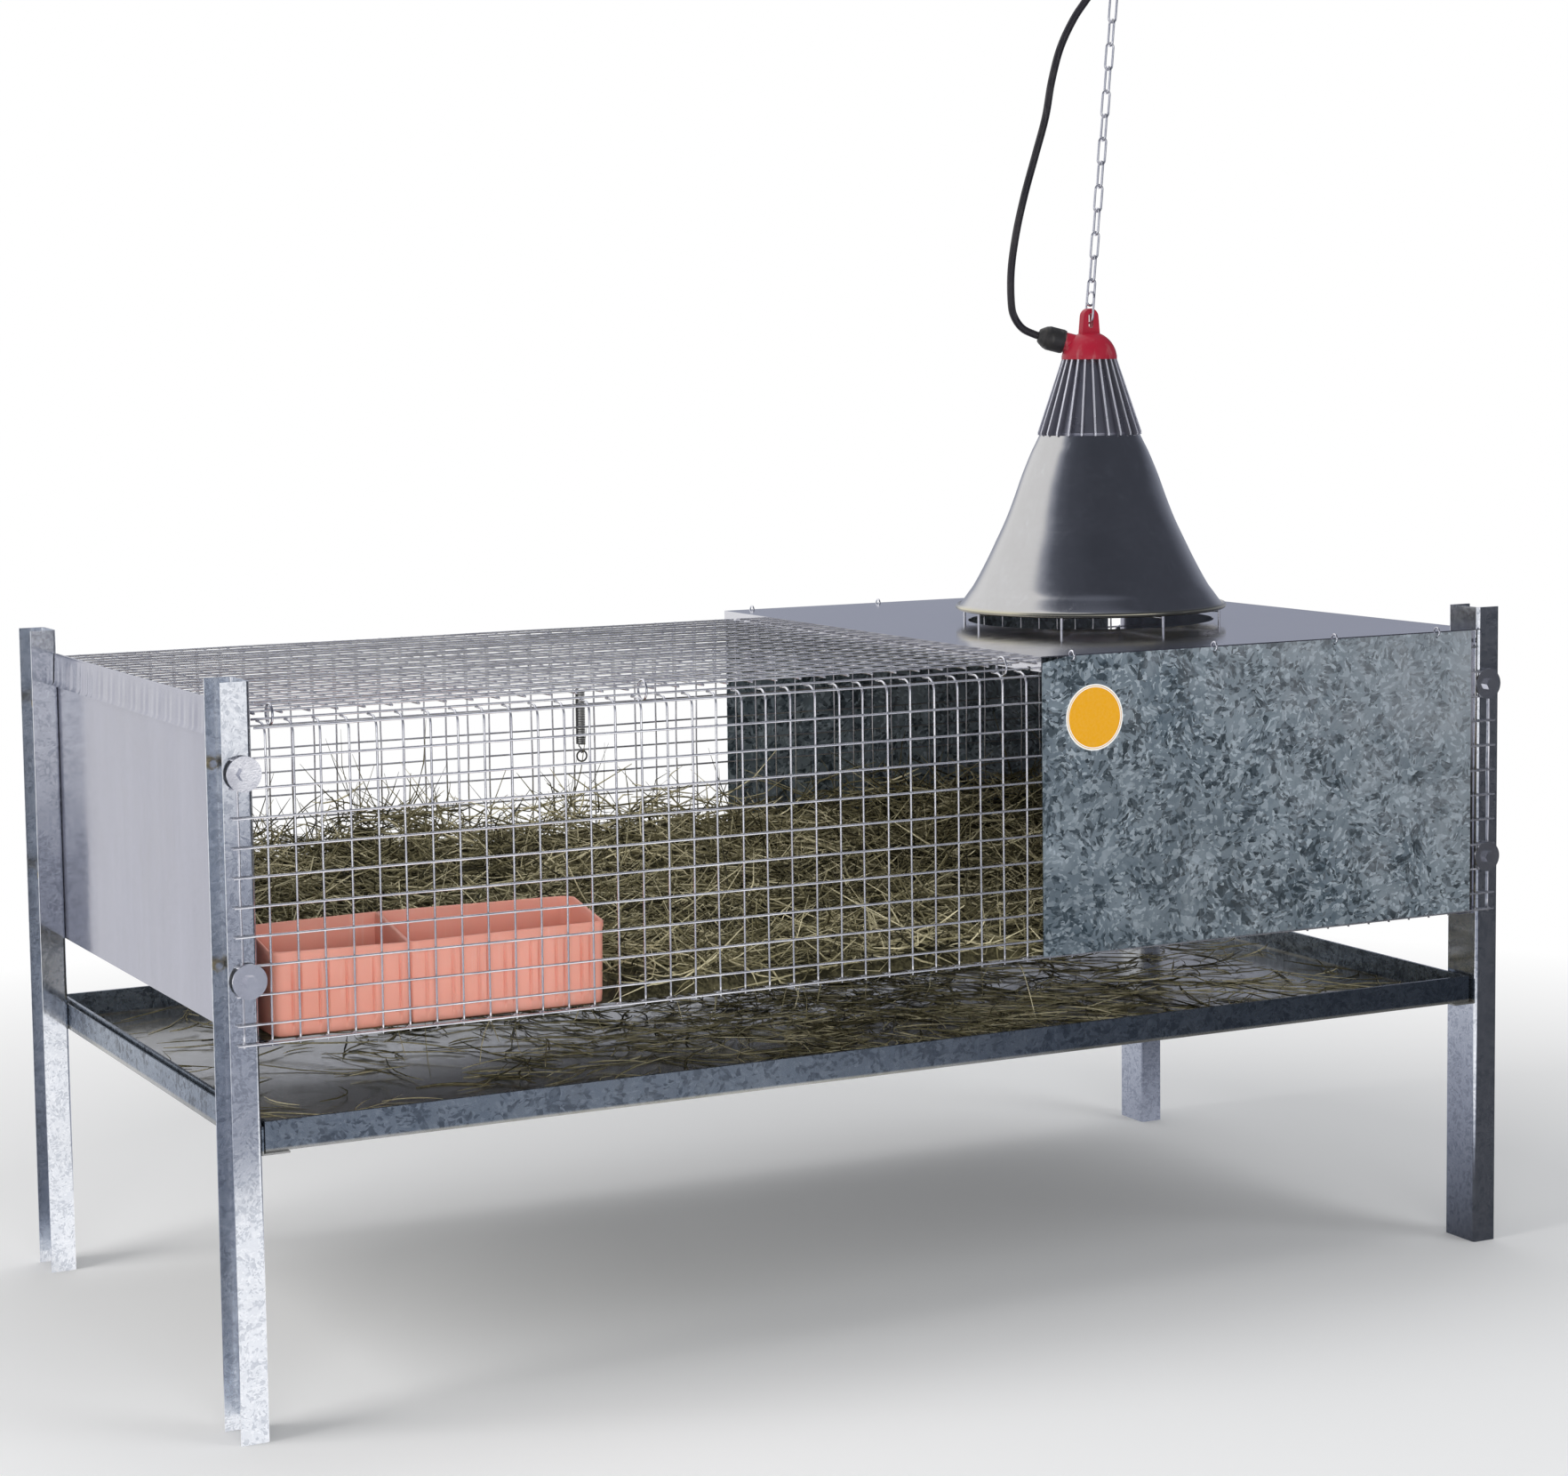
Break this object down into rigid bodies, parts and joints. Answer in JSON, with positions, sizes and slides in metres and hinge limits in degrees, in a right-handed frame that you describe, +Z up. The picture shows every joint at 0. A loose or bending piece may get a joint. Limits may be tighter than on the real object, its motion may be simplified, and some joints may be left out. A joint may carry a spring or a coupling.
{
  "type": "chick brooder box",
  "caption": "Raised wire-mesh chick brooder on channel posts, with a hinged mesh lid, a sheet-metal shelter under a hanging heat lamp, a feed trough and a pull-out dropping tray.",
  "frame": {"origin": "centre of the footprint, on the ground under the posts", "axes": "+X along the box towards the shelter end, +Y from the front to the back, +Z up"},
  "size_m": [1.016, 0.516, 1.0149],
  "materials": {
    "post_zinc": "galvanised, mottled",
    "panel_zinc": "galvanised, pale",
    "sheet_zinc": "galvanised, large spangle",
    "roof_zinc": "galvanised, smooth",
    "tray_zinc": "galvanised, spangle",
    "wire_zinc": "galvanised wire",
    "hardware_zinc": "bright zinc",
    "nut_brass": "yellow passivated",
    "latch_black": "black oxide",
    "label_print": "printed vinyl",
    "trough_plastic": "moulded, slightly glossy",
    "hay": "loose dry stalks",
    "lamp_aluminium": "spun, satin",
    "fin_aluminium": "cast fins, satin",
    "cap_red": "moulded, semi-gloss",
    "gland_black": "moulded, satin",
    "cable_black": "rubber sheath",
    "bulb_glass": "red heat bulb",
    "socket_ceramic": "glazed ceramic lamp holder",
    "rose_white": "moulded"
  },
  "bodies": {
    "cage": {"post_front_left": "post_zinc", "post_front_right": "post_zinc", "post_rear_left": "post_zinc", "post_rear_right": "post_zinc", "end_panel_left": "panel_zinc", "end_panel_right": "panel_zinc", "runner_left": "post_zinc", "runner_right": "post_zinc", "front_mesh": "wire_zinc", "rear_mesh": "wire_zinc", "floor_mesh": "wire_zinc", "lid_hinge_rings": "hardware_zinc", "clamp_washers": "hardware_zinc", "clamp_bolts": "hardware_zinc", "clamp_nuts": "nut_brass", "shelter_front_sheet": "sheet_zinc", "shelter_roof": "roof_zinc", "shelter_rear_sheet": "sheet_zinc", "stitch_rings": "hardware_zinc", "label_disc": "label_print", "hay_bedding": "hay"},
    "lid": {"lid_mesh": "wire_zinc"},
    "latch": {"latch_spring": "latch_black", "latch_ring": "latch_black"},
    "tray": {"dropping_tray": "tray_zinc"},
    "trough": {"feed_trough": "trough_plastic"},
    "lamp": {"lamp_shade": "lamp_aluminium", "lamp_fin_housing": "fin_aluminium", "lamp_cap": "cap_red", "lamp_socket": "socket_ceramic", "heat_bulb": "bulb_glass", "lamp_guard": "hardware_zinc", "cable_gland": "gland_black", "lamp_cable": "cable_black", "lamp_hook": "hardware_zinc", "chain_links": "hardware_zinc", "ceiling_rose": "rose_white"}
  },
  "joints": [
    {"name": "lid_hinge", "type": "hinge", "parent": "cage", "child": "lid", "pos_m": [0, -0.2268, 0.4724], "axis": [1, 0, 0], "range_deg": [0, 110]},
    {"name": "latch_swing", "type": "hinge", "parent": "lid", "child": "latch", "pos_m": [-0.03766, 0.2547, 0.42475], "axis": [1, 0, 0], "range_deg": [0, 70]},
    {"name": "tray_slide", "type": "slide", "parent": "cage", "child": "tray", "axis": [0, -1, 0], "range_m": [0, 0.4]},
    {"name": "trough_lift", "type": "slide", "parent": "cage", "child": "trough", "axis": [0, 0, 1], "range_m": [0, 0.1]},
    {"name": "lamp_lift", "type": "slide", "parent": "cage", "child": "lamp", "axis": [0, 0, 1], "range_m": [0, 0.25]}
  ]
}
